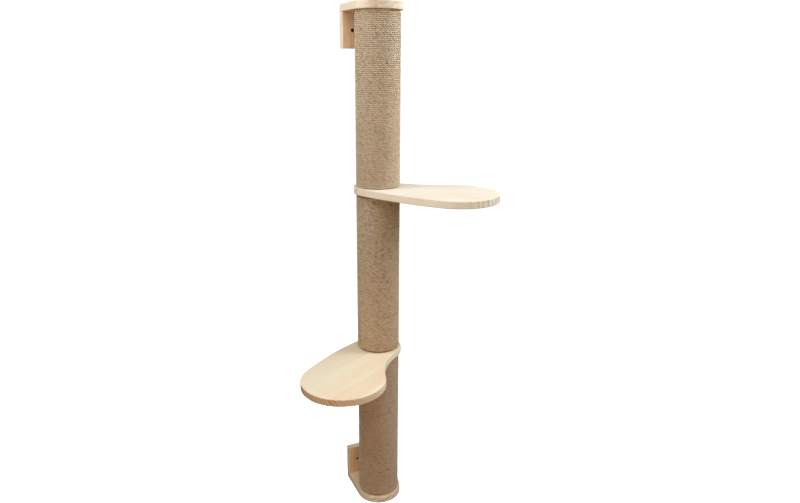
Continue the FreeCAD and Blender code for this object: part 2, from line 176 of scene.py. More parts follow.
class Graph:
    """The node tree of one material or of the world.

    A Mix node has sockets of the same names for each kind of data, so those for colours go by number.
    """

    MIX_FACTOR = 0
    MIX_FIRST = 6
    MIX_SECOND = 7
    MIX_COLOUR = 2

    def __init__(self, tree: bpy.types.NodeTree) -> None:
        """Starts from an empty tree."""
        self.tree = tree
        tree.nodes.clear()

    def node(
        self,
        kind: str,
        settings: Mapping[str, Any] | None = None,
        inputs: Mapping[str | int, Input] | None = None,
    ) -> bpy.types.Node:
        """Adds a node.

        Args:
            kind: The node's type.
            settings: Its own settings, set before its sockets. A ramp takes its stops as "stops".
            inputs: The value or the link of each socket, by the socket's name or number.

        Returns:
            The new node.
        """
        made = self.tree.nodes.new(kind)
        for name, value in (settings or {}).items():
            if name == "stops":
                self._set_stops(made.color_ramp, value)
            else:
                setattr(made, name, value)
        for name, value in (inputs or {}).items():
            if isinstance(value, Field):
                value = value.socket
            if isinstance(value, bpy.types.NodeSocket):
                self.tree.links.new(value, made.inputs[name])
            else:
                made.inputs[name].default_value = value
        return made

    @staticmethod
    def _set_stops(ramp: bpy.types.ColorRamp, stops: Sequence[tuple[float, float]]) -> None:
        """Sets a ramp's stops.

        Args:
            ramp: The ramp.
            stops: Each stop's place and its grey level, in rising order.
        """
        while len(ramp.elements) > 1:
            ramp.elements.remove(ramp.elements[-1])
        for number, (place, level) in enumerate(stops):
            element = ramp.elements.new(place) if number else ramp.elements[0]
            element.position = place
            element.color = (level, level, level, 1.0)

    def value(self, node: bpy.types.Node, output: str | int = 0) -> Field:
        """Wraps one of a node's outputs."""
        return Field(self, node.outputs[output])

    def split(self, vector: bpy.types.NodeSocket) -> tuple[Field, Field, Field]:
        """Takes a vector or a colour apart into three values."""
        parts = self.node("ShaderNodeSeparateXYZ", inputs={"Vector": vector})
        return self.value(parts, "X"), self.value(parts, "Y"), self.value(parts, "Z")

    def join(self, x: Term, y: Term, z: Term) -> bpy.types.NodeSocket:
        """Puts three values together as a vector."""
        return self.node("ShaderNodeCombineXYZ", inputs={"X": x, "Y": y, "Z": z}).outputs[0]

    def dot(self, first: Input, second: Input) -> Field:
        """Gives the dot product of two vectors."""
        made = self.node("ShaderNodeVectorMath", {"operation": "DOT_PRODUCT"}, {0: first, 1: second})
        return self.value(made, "Value")

    def noise(
        self, place: Sequence[Term], waves: Waves, shift: Sequence[Term] = (0.0, 0.0, 0.0)
    ) -> Field:
        """Adds smooth noise.

        Args:
            place: The three values that it is read at.
            waves: How fine and how rough it is.
            shift: What is added to the scaled place, to set one noise apart from another.

        Returns:
            The noise, about 0.5.
        """
        scaled = [
            part * scale + offset if offset else part * scale
            for part, scale, offset in zip(place, waves.scale, shift)
        ]
        made = self.node(
            "ShaderNodeTexNoise",
            {"noise_dimensions": "3D"},
            {
                "Vector": self.join(*scaled),
                "Scale": 1.0,
                "Detail": waves.detail,
                "Roughness": waves.roughness,
            },
        )
        return self.value(made)

    def mix(self, factor: Term, first: Input, second: Input) -> bpy.types.NodeSocket:
        """Mixes two colours.

        Args:
            factor: How much of the second.
            first: The first colour.
            second: The second colour.

        Returns:
            The mixed colour's socket.
        """
        made = self.node(
            "ShaderNodeMix",
            {"data_type": "RGBA", "clamp_factor": True},
            {self.MIX_FACTOR: factor, self.MIX_FIRST: first, self.MIX_SECOND: second},
        )
        return made.outputs[self.MIX_COLOUR]

    def bump(self, height: Field, strength: float, distance: float) -> bpy.types.NodeSocket:
        """Turns a height into a normal.

        Args:
            height: The height, from 0 to 1.
            strength: How much of it shows.
            distance: The height of 1, in metres.

        Returns:
            The normal's socket.
        """
        made = self.node(
            "ShaderNodeBump", inputs={"Height": height, "Strength": strength, "Distance": distance}
        )
        return made.outputs[0]

    def surface(self, inputs: Mapping[str | int, Input]) -> None:
        """Ends a material with its Principled shader, which takes these values and links."""
        shader = self.node("ShaderNodeBsdfPrincipled", inputs=inputs)
        self.node("ShaderNodeOutputMaterial", inputs={"Surface": shader.outputs[0]})


def new_material(name: str) -> tuple[bpy.types.Material, Graph]:
    """Makes an empty material.

    Args:
        name: Its name.

    Returns:
        The material and its node graph.
    """
    made = bpy.data.materials.new(name)
    made.use_nodes = True
    return made, Graph(made.node_tree)


@dataclass(frozen=True)
class BoardAxes:
    """Where a board lies: a point in its middle, the way its grain runs and the way across it."""

    origin: Vector
    along: Vector
    across: Vector

    @property
    def through(self) -> Vector:
        """The way through the board's thickness."""
        return self.along.cross(self.across)

    @property
    def turn(self) -> Euler:
        """The turn from the board's own axes to the frame's."""
        return Matrix((self.along, self.across, self.through)).transposed().to_euler()


@dataclass(frozen=True)
class PineFinish:
    """Sanded, unvarnished pine that is glued up from staves, with its rings in the solid.

    The pith is the middle of the trunk that a stave was cut from. It is given as its distance across
    and through the board from the stave's own middle, and each stave's differs a little. The sides that
    run along the grain take a share of a tone of painted light and shade, which turns to a painted
    highlight near the post. The end grain of a stave is darkened by up to end_tone.
    """

    seed: float
    stave_width: float = 0.047
    stave_shift: float = 0.31
    ring_pitch: float = 0.0085
    pith: tuple[float, float] = (0.08, 0.035)
    bores: tuple[tuple[float, float], ...] = ()
    bore_radius: float = 0.0050
    early_wood: Colour = tint(241, 226, 203)
    late_wood: Colour = tint(214, 172, 124)
    warm_stave: Colour = tint(243, 215, 184)
    end_grain: Colour = tint(226, 200, 170)
    end_late: Colour = tint(170, 124, 84)
    glue: Colour = tint(190, 156, 116)
    resin: Colour = tint(170, 124, 80)
    handled: Colour = tint(212, 180, 142)
    # The dark of the painted shade in the holes, with the darker drilled wood under it.
    drilled_wood_and_shade: Colour = tint(112, 74, 46)
    face_contrast: float = 0.18
    end_contrast: float = 0.8
    # Tone and share of the painted light and shade on the sides along the grain, then the painted
    # highlight near the post and its share.
    edge_lighting: Colour = tint(250, 236, 213)
    edge_lighting_share: float = 0.0
    neck_highlight: Colour = tint(255, 246, 226)
    neck_highlight_share: float = 0.0
    end_tone: float = 0.0
    streaks: float = 0.18
    streak_width: float = 0.003

    FIBRE = Waves((24.0, 1500.0, 1500.0), detail=3.0, roughness=0.6)
    CLOUD = Waves((7.0, 30.0, 30.0))
    DUCT = Waves((60.0, 1100.0, 1100.0), detail=1.0)
    WANDER = Waves((5.0, 22.0, 22.0), roughness=0.45)
    WANDER_SIZE = 0.011
    WANDER_APART = 3.7
    UNEVEN = Waves((95.0, 5.1, 1.0), detail=1.0)
    UNEVEN_SIZE = 0.007
    STREAK_SLIMNESS = 0.04
    PITH_DRIFT = (0.10, 0.05)
    # How much late wood there is from the inner side of a ring to its outer side.
    RING_STOPS = ((0.0, 0.04), (0.5, 0.1), (0.78, 0.6), (0.92, 1.0), (1.0, 0.04))
    # Between which turns of the surface it counts as end grain, as an edge and as a rounded arris.
    END_TURN = (0.25, 0.9)
    EDGE_TURN = (0.3, 0.9)
    ARRIS_TURN = (0.2, 0.9)
    # Where the glue line sets in across a stave, the painted highlight on the sides near the post, and
    # the full painted shade in a hole.
    SEAM_REACH = (0.4955, 0.499)
    NECK_HIGHLIGHT_REACH = (0.22, 0.14)
    WALL_REACH = 0.85

    def material(self, name: str, axes: BoardAxes) -> bpy.types.Material:
        """Builds the material.

        Args:
            name: Its name.
            axes: Where the board lies.

        Returns:
            The pine material of one board.
        """
        made, graph = new_material(name)
        texture = graph.node("ShaderNodeTexCoord")
        facing = texture.outputs["Normal"]
        local = graph.node(
            "ShaderNodeMapping",
            {"vector_type": "TEXTURE"},
            {"Vector": texture.outputs["Object"], "Location": axes.origin, "Rotation": axes.turn},
        )
        place = graph.split(local.outputs[0])
        along, across, _ = place
        slot = across / self.stave_width + self.stave_shift
        stave = slot.floor()
        lot = graph.node(
            "ShaderNodeTexWhiteNoise", {"noise_dimensions": "1D"}, {"W": stave + self.seed}
        )
        late = self._late_wood(graph, place, stave, graph.split(lot.outputs["Color"]))
        fibre = graph.noise(place, self.FIBRE)
        end = abs(graph.dot(facing, axes.along)).step(*self.END_TURN)
        edge = abs(graph.dot(facing, axes.across)).step(*self.EDGE_TURN)
        flat = graph.dot(facing, axes.through) ** 2
        arris = (flat * (1 - flat) * 4).step(*self.ARRIS_TURN)
        seam = abs(slot.fraction() - 0.5).step(*self.SEAM_REACH)
        colour = self._colour(graph, place, late, fibre, end, lot, seam)
        # Painted light and shade on the sides along the grain, turning to a painted highlight near the
        # post.
        near_post = along.step(*self.NECK_HIGHLIGHT_REACH)
        edge_lighting_colour = graph.mix(near_post * self.neck_highlight_share, self.edge_lighting, self.neck_highlight)
        colour = graph.mix(edge * self.edge_lighting_share, colour, edge_lighting_colour)
        worn = graph.mix(arris * (0.1 + fibre * 0.2), colour, self.handled)
        height = (fibre * 0.5 + late * 0.5 - seam * 0.6) * (1 - arris * 0.6)
        graph.surface(
            {
                # The holes get painted shade.
                "Base Color": self._darken_bores(graph, (along, across), worn),
                "Roughness": 0.54 + fibre * 0.16 + end * 0.14 - late * 0.06 - arris * 0.12,
                "Normal": graph.bump(height, strength=0.35, distance=0.00025),
                "IOR": 1.42,
                "Specular IOR Level": 0.35,
            }
        )
        return made

    def _darken_bores(
        self, graph: Graph, place: tuple[Field, Field], colour: bpy.types.NodeSocket
    ) -> bpy.types.NodeSocket:
        """Paints shade into the drilled holes, over the darker drilled wood.

        Args:
            graph: The material's graph.
            place: The place along and across the board.
            colour: The wood's colour.

        Returns:
            The colour with the painted shade of the holes in it.
        """
        along, across = place
        wall = (self.bore_radius, self.bore_radius * self.WALL_REACH)
        for bore_along, bore_across in self.bores:
            away = ((along - bore_along) ** 2 + (across - bore_across) ** 2).root()
            colour = graph.mix(away.step(*wall), colour, self.drilled_wood_and_shade)
        return colour

    def _late_wood(
        self,
        graph: Graph,
        place: tuple[Field, Field, Field],
        stave: Field,
        lot: tuple[Field, Field, Field],
    ) -> Field:
        """Cuts the board out of a trunk: rings about a pith of each stave's own.

        Args:
            graph: The material's graph.
            place: The place along, across and through the board.
            stave: The number of the stave.
            lot: Three random values of the stave.

        Returns:
            How much late wood is at the place, from 0 to 1.
        """
        along, across, through = place
        first, second, third = lot
        pith_across, pith_through = self.pith
        drift_across, drift_through = self.PITH_DRIFT
        middle = (stave + 0.5 - self.stave_shift) * self.stave_width
        centre_across = middle + pith_across * (0.7 + first * 0.6)
        centre_across = centre_across + along * (second - 0.5) * drift_across
        centre_through = pith_through * (0.6 + third * 0.8) + along * (first - 0.5) * drift_through
        wander = graph.noise(place, self.WANDER, (self.seed, stave * self.WANDER_APART, 0.0))
        out = ((across - centre_across) ** 2 + (through - centre_through) ** 2).root()
        out = out + (wander - 0.5) * self.WANDER_SIZE
        uneven = graph.noise((out, stave, self.seed), self.UNEVEN)
        ring = (out + (uneven - 0.5) * self.UNEVEN_SIZE) / self.ring_pitch
        ramp = graph.node("ShaderNodeValToRGB", {"stops": self.RING_STOPS}, {"Fac": ring.fraction()})
        return graph.value(ramp)

    def _colour(
        self,
        graph: Graph,
        place: tuple[Field, Field, Field],
        late: Field,
        fibre: Field,
        end: Field,
        lot: bpy.types.Node,
        seam: Field,
    ) -> bpy.types.NodeSocket:
        """Puts the wood's colour together.

        Args:
            graph: The material's graph.
            place: The place along, across and through the board.
            late: How much late wood there is.
            fibre: The fine fibres.
            end: How far the surface cuts across the grain.
            lot: The stave's random values.
            seam: The glue line between two staves.

        Returns:
            The colour's socket.
        """
        tone = graph.value(lot, "Value")
        cloud = graph.noise(place, self.CLOUD, (self.seed, 0.0, 0.0))
        duct = graph.noise(place, self.DUCT, (0.0, 0.0, self.seed))
        fine = 1 / self.streak_width
        streak = graph.noise(
            place, Waves((fine * self.STREAK_SLIMNESS, fine, fine)), (-self.seed, 0.0, 0.0)
        )
        warmth = tone.step(0.1, 0.9) * 0.8 + (cloud - 0.5) * 0.7
        base = graph.mix(warmth, self.early_wood, self.warm_stave)
        figure = late * (0.35 + cloud.step(0.42, 0.68) * 1.3)
        colour = graph.mix(figure * self.face_contrast, base, self.late_wood)
        cut = graph.mix(late * self.end_contrast, self.end_grain, self.end_late)
        cut = graph.mix(cloud.step(0.5, 0.75) * 0.25 + tone * self.end_tone, cut, self.end_late)
        colour = graph.mix(end * 0.85, colour, cut)
        colour = graph.mix((fibre - 0.5).step(0.02, 0.3) * 0.28, colour, self.late_wood)
        colour = graph.mix(duct.step(0.68, 0.76) * self.streaks * 1.3 * (1 - end), colour, self.resin)
        colour = graph.mix(streak.step(0.64, 0.78) * self.streaks * (1 - end), colour, self.resin)
        return graph.mix(seam * 0.25, colour, self.glue)


QUARTER_SAWN = PineFinish(
    seed=7.0,
    ring_pitch=0.0135,
    pith=(0.12, 0.012),
    early_wood=tint(236, 225, 211),
    late_wood=tint(226, 180, 140),
    warm_stave=tint(238, 214, 190),
    end_grain=tint(238, 226, 207),
    end_late=tint(122, 107, 86),
    face_contrast=0.32,
    edge_lighting_share=0.5,
)
RIFT_SAWN = PineFinish(
    seed=23.0,
    stave_shift=0.12,
    ring_pitch=0.0064,
    pith=(-0.16, -0.085),
    early_wood=tint(252, 230, 199),
    warm_stave=tint(250, 215, 178),
    end_grain=tint(230, 190, 153),
    end_late=tint(98, 58, 34),
    edge_lighting=tint(216, 189, 160),
    face_contrast=0.08,
    end_contrast=1.0,
    edge_lighting_share=0.8,
    neck_highlight_share=1.0,
    streaks=0.2,
    streak_width=0.013,
)
FLAT_SAWN = PineFinish(
    seed=1.0,
    stave_shift=0.5,
    ring_pitch=0.013,
    pith=(0.025, 0.05),
    early_wood=tint(241, 225, 205),
    warm_stave=tint(242, 214, 188),
    end_grain=tint(225, 200, 176),
    end_late=tint(166, 128, 100),
    edge_lighting=tint(242, 222, 197),
    edge_lighting_share=0.35,
    end_contrast=0.5,
    end_tone=0.35,
)
STREAKED = PineFinish(
    seed=14.0,
    stave_width=0.062,
    stave_shift=0.0,
    pith=(0.09, 0.02),
    late_wood=tint(190, 128, 84),
    warm_stave=tint(234, 188, 146),
    end_grain=tint(240, 226, 204),
    end_late=tint(200, 170, 140),
    face_contrast=0.5,
    edge_lighting_share=0.55,
    streaks=0.35,
)
HONEYED = replace(
    FLAT_SAWN,
    seed=17.0,
    early_wood=tint(243, 224, 190),
    warm_stave=tint(243, 208, 164),
    end_grain=tint(255, 242, 224),
    end_late=tint(164, 118, 100),
    edge_lighting=tint(255, 246, 228),
    end_contrast=0.75,
    end_tone=0.15,
)
AMBER = replace(
    STREAKED,
    seed=15.0,
    stave_shift=-1.0,
    bore_radius=0.0038,
    late_wood=tint(200, 146, 102),
    warm_stave=tint(242, 206, 163),
    edge_lighting_share=0.95,
)


@dataclass(frozen=True)
class RopeFinish:
    """Laid jute cord: three strands, leaning fibres, husk flecks, and painted shade and highlights on
    its relief.

    Over one stretch of the cord more pale and dark specks are added, and the painted shade in the
    grooves and on the undersides is deepened. It sets in at one length along the cord and is full at
    another, in metres.
    """

    seed: float
    # Shares of painted highlight with wear on the strand crests, of painted shade in the grooves between
    # strands and of painted shade on the undersides of the turns.
    crest_highlight_and_wear: float
    groove_shade: float
    underside_shade: float
    straw: Colour
    shade: Colour
    bleached: Colour = tint(250, 236, 212)
    # The dark brown of the painted shade in grooves and on undersides, also used for tufts and dark
    # specks.
    groove: Colour = tint(94, 64, 42)
    husk: Colour = tint(86, 62, 40)
    tufts: float = 0.4
    husks: float = 0.9
    # Specks and deeper painted shade over one stretch of the cord, and the lengths where they set in and
    # are full.
    soiling_and_shade: float = 0.0
    soiled_and_shaded_from: float = 9.0
    soiled_and_shaded_to: float = 24.0

    FIBRE_LEAN = 2.3
    FIBRE = Waves((150.0, 11.0, 3.7), detail=3.0, roughness=0.65)
    STRIPE = Waves((40.0, 5.0, 2.9))
    SLOW = Waves((6.0, 1.7, 1.0))
    FLECK = Waves((80.0, 1.6, 1.0), detail=0.0)
    FLECK_SEED = 31.0
    TUFT = Waves((120.0, 0.8, 1.0), detail=1.0)
    TUFT_SEED = -17.0
    SPECK = Waves((200.0, 0.8, 1.0), detail=0.0)
    SPECK_SEED = 53.0
    PALE_SPECKS = 3.0
    DARK_SPECKS = 1.5

    def material(self, name: str, lay: float) -> bpy.types.Material:
        """Builds the material. It reads the map that runs along and around the cord.

        Args:
            name: Its name.
            lay: The length in which a strand goes once around the cord.

        Returns:
            The rope material of one cord.
        """
        made, graph = new_material(name)
        lay_map = graph.node("ShaderNodeUVMap", {"uv_map": CordMesh.LAY_MAP})
        facing = graph.node("ShaderNodeTexCoord").outputs["Normal"]
        # Down-facing surfaces, the undersides of the turns, which get painted shade.
        shaded_underside = graph.dot(facing, UP).step(-0.1, -0.8)
        along, around, _ = graph.split(lay_map.outputs["UV"])
        strand = around.floor()
        place = around.fraction()
        crown = place * (1 - place) * 4
        lean = around - along * (self.FIBRE_LEAN / lay)
        fibre = graph.noise((along, lean, strand), self.FIBRE, (0.0, 0.0, self.seed))
        stripe = graph.noise((along, lean, strand), self.STRIPE, (0.0, 0.0, -self.seed))
        slow = graph.noise((along, strand, self.seed), self.SLOW)
        fleck = graph.noise((along, lean, self.seed + self.FLECK_SEED), self.FLECK)
        tuft = graph.noise((along, around, self.seed + self.TUFT_SEED), self.TUFT)
        speck = graph.noise((along, around, self.seed + self.SPECK_SEED), self.SPECK)
        # How strong the specks and the deeper painted shade are along the cord.
        soiled_and_shaded = along.step(self.soiled_and_shaded_from, self.soiled_and_shaded_to) * self.soiling_and_shade
        colour = graph.mix(fibre.step(0.3, 0.7), self.shade, self.straw)
        colour = graph.mix(stripe.step(0.48, 0.8) * 0.6, colour, self.bleached)
        # Painted highlight on the strand crests, with some wear.
        colour = graph.mix(crown.step(0.6, 1.0) * self.crest_highlight_and_wear, colour, self.bleached)
        colour = graph.mix((slow - 0.5).step(0.0, 0.3) * 0.3, colour, self.shade)
        colour = graph.mix(speck.step(0.5, 0.3) * soiled_and_shaded * self.PALE_SPECKS, colour, self.bleached)
        colour = graph.mix(speck.step(0.5, 0.7) * soiled_and_shaded * self.DARK_SPECKS, colour, self.groove)
        colour = graph.mix(tuft.step(0.45, 0.7) * self.tufts, colour, self.groove)
        # Painted shade in the grooves between the strands, deeper over one stretch of the cord.
        colour = graph.mix(crown.step(0.75, 0.1) * (self.groove_shade + soiled_and_shaded), colour, self.groove)
        # Painted shade on the undersides of the turns, deeper over one stretch of the cord.
        colour = graph.mix(shaded_underside * (self.underside_shade + soiled_and_shaded), colour, self.groove)
        colour = graph.mix(fleck.step(0.78, 0.82) * self.husks, colour, self.husk)
        graph.surface(
            {
                "Base Color": colour,
                "Roughness": 0.78 + fibre * 0.16,
                "Normal": graph.bump(fibre * 0.6 + stripe * 0.4, strength=0.6, distance=0.0003),
                "Specular IOR Level": 0.25,
                "Sheen Weight": 0.15,
                "Sheen Roughness": 0.5,
            }
        )
        return made


# One jute rope, painted with the light on each post section: the upper finish brightest, the lower
# darkest with the weakest painted relief.
HALF_LIT_ROPE = RopeFinish(
    seed=7.3,
    crest_highlight_and_wear=0.7,
    groove_shade=0.42,
    underside_shade=0.12,
    straw=tint(219, 186, 148),
    shade=tint(178, 143, 107),
    bleached=tint(236, 215, 187),
    soiling_and_shade=0.17,
)
BRIGHT_LIT_ROPE = replace(
    HALF_LIT_ROPE,
    seed=0.0,
    crest_highlight_and_wear=0.6,
    groove_shade=0.58,
    underside_shade=0.22,
    straw=tint(230, 200, 163),
    shade=tint(189, 153, 118),
    bleached=tint(239, 220, 194),
    soiling_and_shade=0.1,
    soiled_and_shaded_from=15.0,
    soiled_and_shaded_to=4.0,
)
DIM_LIT_ROPE = RopeFinish(
    seed=14.6,
    crest_highlight_and_wear=0.2,
    groove_shade=0.2,
    underside_shade=0.05,
    straw=tint(205, 176, 145),
    shade=tint(164, 132, 102),
    tufts=0.1,
    husks=0.65,
)


@dataclass(frozen=True)
class PaperboardFinish:
    """Spirally wound kraft board of the core tubes."""

    kraft: Colour = tint(164, 128, 90)
    fibre: Colour = tint(124, 92, 60)
    ply_pitch: float = 0.085

    PULP = Waves((700.0, 700.0, 260.0), detail=3.0, roughness=0.6)
    SEAM_REACH = (0.485, 0.498)

    def material(self, name: str) -> bpy.types.Material:
        """Builds the material.

        Args:
            name: Its name.

        Returns:
            The board material.
        """
        made, graph = new_material(name)
        place = graph.split(graph.node("ShaderNodeTexCoord").outputs["Object"])
        x, y, z = place
        angle = (y - POST_AXIS.y).bearing(x) / math.tau
        seam = abs((z / self.ply_pitch + angle).fraction() - 0.5).step(*self.SEAM_REACH)
        pulp = graph.noise(place, self.PULP)
        colour = graph.mix(pulp.step(0.4, 0.75) * 0.6, self.kraft, self.fibre)
        graph.surface(
            {
                "Base Color": graph.mix(seam * 0.7, colour, self.fibre),
                "Roughness": 0.8 + pulp * 0.15,
                "Normal": graph.bump(pulp - seam * 0.5, strength=0.4, distance=0.0003),
            }
        )
        return made


@dataclass(frozen=True)
class ZincFinish:
    """Bright zinc plating on turned and pressed steel."""

    plate: Colour = tint(196, 198, 200)
    bloom: Colour = tint(158, 160, 158)

    CLOUD = Waves((260.0, 260.0, 260.0), detail=3.0, roughness=0.55)
    SCRATCH = Waves((900.0, 5200.0, 900.0))

    def material(self, name: str) -> bpy.types.Material:
        """Builds the material.

        Args:
            name: Its name.

        Returns:
            The steel material.
        """
        made, graph = new_material(name)
        place = graph.split(graph.node("ShaderNodeTexCoord").outputs["Object"])
        cloud = graph.noise(place, self.CLOUD)
        scratch = graph.noise(place, self.SCRATCH)
        graph.surface(
            {
                "Base Color": graph.mix(cloud.step(0.35, 0.75), self.plate, self.bloom),
                "Metallic": 0.75,
                "Roughness": 0.34 + cloud * 0.16 + scratch * 0.08,
                "Normal": graph.bump(scratch, strength=0.15, distance=0.0001),
            }
        )
        return made


@dataclass(frozen=True)
class FloorFinish:
    """Plain matt floor, nearly white."""

    pale: Colour = tint(246, 245, 243)
    grey: Colour = tint(242, 241, 239)

    PATCH = Waves((2.0, 2.0, 1.0), detail=3.0)

    def material(self, name: str) -> bpy.types.Material:
        """Builds the material.

        Args:
            name: Its name.

        Returns:
            The floor material.
        """
        made, graph = new_material(name)
        place = graph.split(graph.node("ShaderNodeTexCoord").outputs["Object"])
        patch = graph.noise(place, self.PATCH)
        graph.surface(
            {
                "Base Color": graph.mix(patch, self.pale, self.grey),
                "Roughness": 0.9,
                "Specular IOR Level": 0.1,
            }
        )
        return made


def dress(node: str, finish: bpy.types.Material) -> str:
    """Gives a CAD node its finish.

    Args:
        node: The node's name.
        finish: The material.

    Returns:
        The node's name.
    """
    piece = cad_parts[node]
    for slot in piece.material_slots:
        slot.material = finish
    if not piece.material_slots:
        piece.data.materials.append(finish)
    return node


@dataclass(frozen=True)
class Wobble:
    """A smooth random wobble along the cord: about how long one wave of it is, and how large."""

    length: float
    size: float

    WAVES = 5
    SPREAD = (0.6, 1.7)

    def at(self, along: np.ndarray, rng: np.random.Generator) -> np.ndarray:
        """Adds up a few waves of unlike lengths.

        Args:
            along: The length of cord at each ring.
            rng: The seeded source of random numbers.

        Returns:
            The wobble at each ring.
        """
        waves = rng.uniform(*self.SPREAD, self.WAVES) * math.tau / self.length
        phases = rng.uniform(0, math.tau, self.WAVES)
        return self.size * np.sin(along[:, None] * waves + phases).sum(axis=1) / math.sqrt(self.WAVES)


@dataclass
class CordMesh:
    """The cord of a winding: three strands laid together and wound up a post section."""

    base: float
    start: float
    climb: float
    rings: int
    begin: float
    seed: int
    coil_radius: float = 0.0522
    crest: float = 0.00217
    valley: float = 0.00080
    squareness: float = 2.7
    lay: float = 0.0225
    sides: int = 18
    cut_length: float = 0.014
    cut_size: float = 0.55
    cut_sink: float = 0.0010
    reach: Wobble = Wobble(0.035, 0.00007)
    sway: Wobble = Wobble(0.11, 0.00010)
    swell: Wobble = Wobble(0.03, 0.025)
    twist: Wobble = Wobble(0.08, 0.35)
    lumps: Wobble = Wobble(0.02, 0.04)

    LAY_MAP = "lay"
    BAKE_MAP = "OFBake"
    STRANDS = 3
    RINGS_A_TURN = 180
    # On the map for baking: the margins of a turn's strip, and the size and places of the end caps.
    SIDE_MARGIN = 0.06
    END_MARGIN = 0.004
    CAP_SIZE = 0.4
    CAP_PLACES = (0.8, 0.93)
    # On the map along the lay: the size and the place of both end caps.
    CAP_LAY_SIZE = 0.001
    CAP_LAY_PLACE = 0.5

    def build(self, name: str, first: int, last: int) -> bpy.types.Object:
        """Builds one stretch of the cord as a closed mesh with its two maps.

        Args:
            name: The piece's name.
            first: The number of the first ring of points.
            last: The number of the last ring of points.

        Returns:
            The new piece.
        """
        numbers = np.arange(first, last + 1)
        points = self._points(numbers)
        mesh = bpy.data.meshes.new(name)
        quads = self._quads(len(numbers))
        caps = [np.arange(self.sides), np.arange(self.sides)[::-1] + (last - first) * self.sides]
        corners = np.concatenate([quads.ravel(), *caps])
        starts = np.arange(len(quads)) * 4
        starts = np.concatenate([starts, quads.size + np.array([0, self.sides])])
        mesh.vertices.add(len(numbers) * self.sides)
        mesh.vertices.foreach_set("co", points.astype(np.float32).ravel())
        mesh.loops.add(len(corners))
        mesh.loops.foreach_set("vertex_index", corners.astype(np.int32))
        mesh.polygons.add(len(starts))
        mesh.polygons.foreach_set("loop_start", starts.astype(np.int32))
        mesh.update(calc_edges=True)
        self._add_maps(mesh, numbers)
        mesh.shade_smooth()
        mesh.validate()
        piece = bpy.data.objects.new(name, mesh)
        bpy.context.scene.collection.objects.link(piece)
        return piece

    def _points(self, numbers: np.ndarray) -> np.ndarray:
        """Places the rings of points.

        Args:
            numbers: The numbers of the rings.

        Returns:
            The points, ring by ring.
        """
        rng = np.random.default_rng(self.seed)
        turns = numbers / self.RINGS_A_TURN
        angle = math.tau * turns + math.radians(self.begin)
        along = numbers * self._step
        cut = np.clip(np.minimum(along, self.rings * self._step - along) / self.cut_length, 0, 1)
        cut = cut * cut * (3 - 2 * cut)
        reach = self.reach.at(along, rng) - (1 - cut) * self.cut_sink
        sway = self.sway.at(along, rng)
        swell = 1 + self.swell.at(along, rng)
        twist = self.twist.at(along, rng) - math.tau * along / self.lay
        lumps = np.stack([self.lumps.at(along, rng) for _ in range(self.STRANDS)], axis=1)
        middle = self.base + self.start + self.climb * turns + sway
        side = np.arange(self.sides) / self.sides
        section = self._section(side) * (1 + lumps[:, (side * self.STRANDS).astype(int)])
        section = section * (swell * (self.cut_size + (1 - self.cut_size) * cut))[:, None]
        round_angle = math.tau * side[None, :] + twist[:, None]
        out, up = np.cos(round_angle), np.sin(round_angle)
        power = self.squareness
        pressed = (np.abs(out) ** power + np.abs(up) ** power) ** (-1 / power)
        radius = self.coil_radius + reach[:, None] + out * section * pressed
        return np.stack(
            [
                POST_AXIS.x + radius * np.cos(angle)[:, None],
                POST_AXIS.y + radius * np.sin(angle)[:, None],
                middle[:, None] + up * section * pressed,
            ],
            axis=-1,
        )

    def _section(self, side: np.ndarray) -> np.ndarray:
        """Gives the outline of round strands that touch, with fibres deep in the grooves.

        Args:
            side: The place around the cord, from 0 to 1, with a groove at 0.

        Returns:
            The distance from the cord's middle to its outline.
        """
        half = math.pi / self.STRANDS
        strand = self.crest * math.sin(half) / (1 + math.sin(half))
        out = self.crest - strand
        angle = (side * self.STRANDS % 1 - 0.5) * 2 * half
        chord = np.sqrt(np.clip(strand**2 - (out * np.sin(angle)) ** 2, 0, None))
        return np.maximum(out * np.cos(angle) + chord, self.valley)

    @property
    def _step(self) -> float:
        """The length of cord from one ring to the next."""
        return math.tau * self.coil_radius / self.RINGS_A_TURN

    def _quads(self, rings: int) -> np.ndarray:
        """Joins the rings with four-sided faces.

        Args:
            rings: How many rings there are.

        Returns:
            The corners of each face.
        """
        ring = np.arange(rings - 1)[:, None] * self.sides
        side = np.arange(self.sides)[None, :]
        after = (side + 1) % self.sides
        faces = [ring + side, ring + self.sides + side, ring + self.sides + after, ring + after]
        return np.stack(faces, axis=-1).reshape(-1, 4)

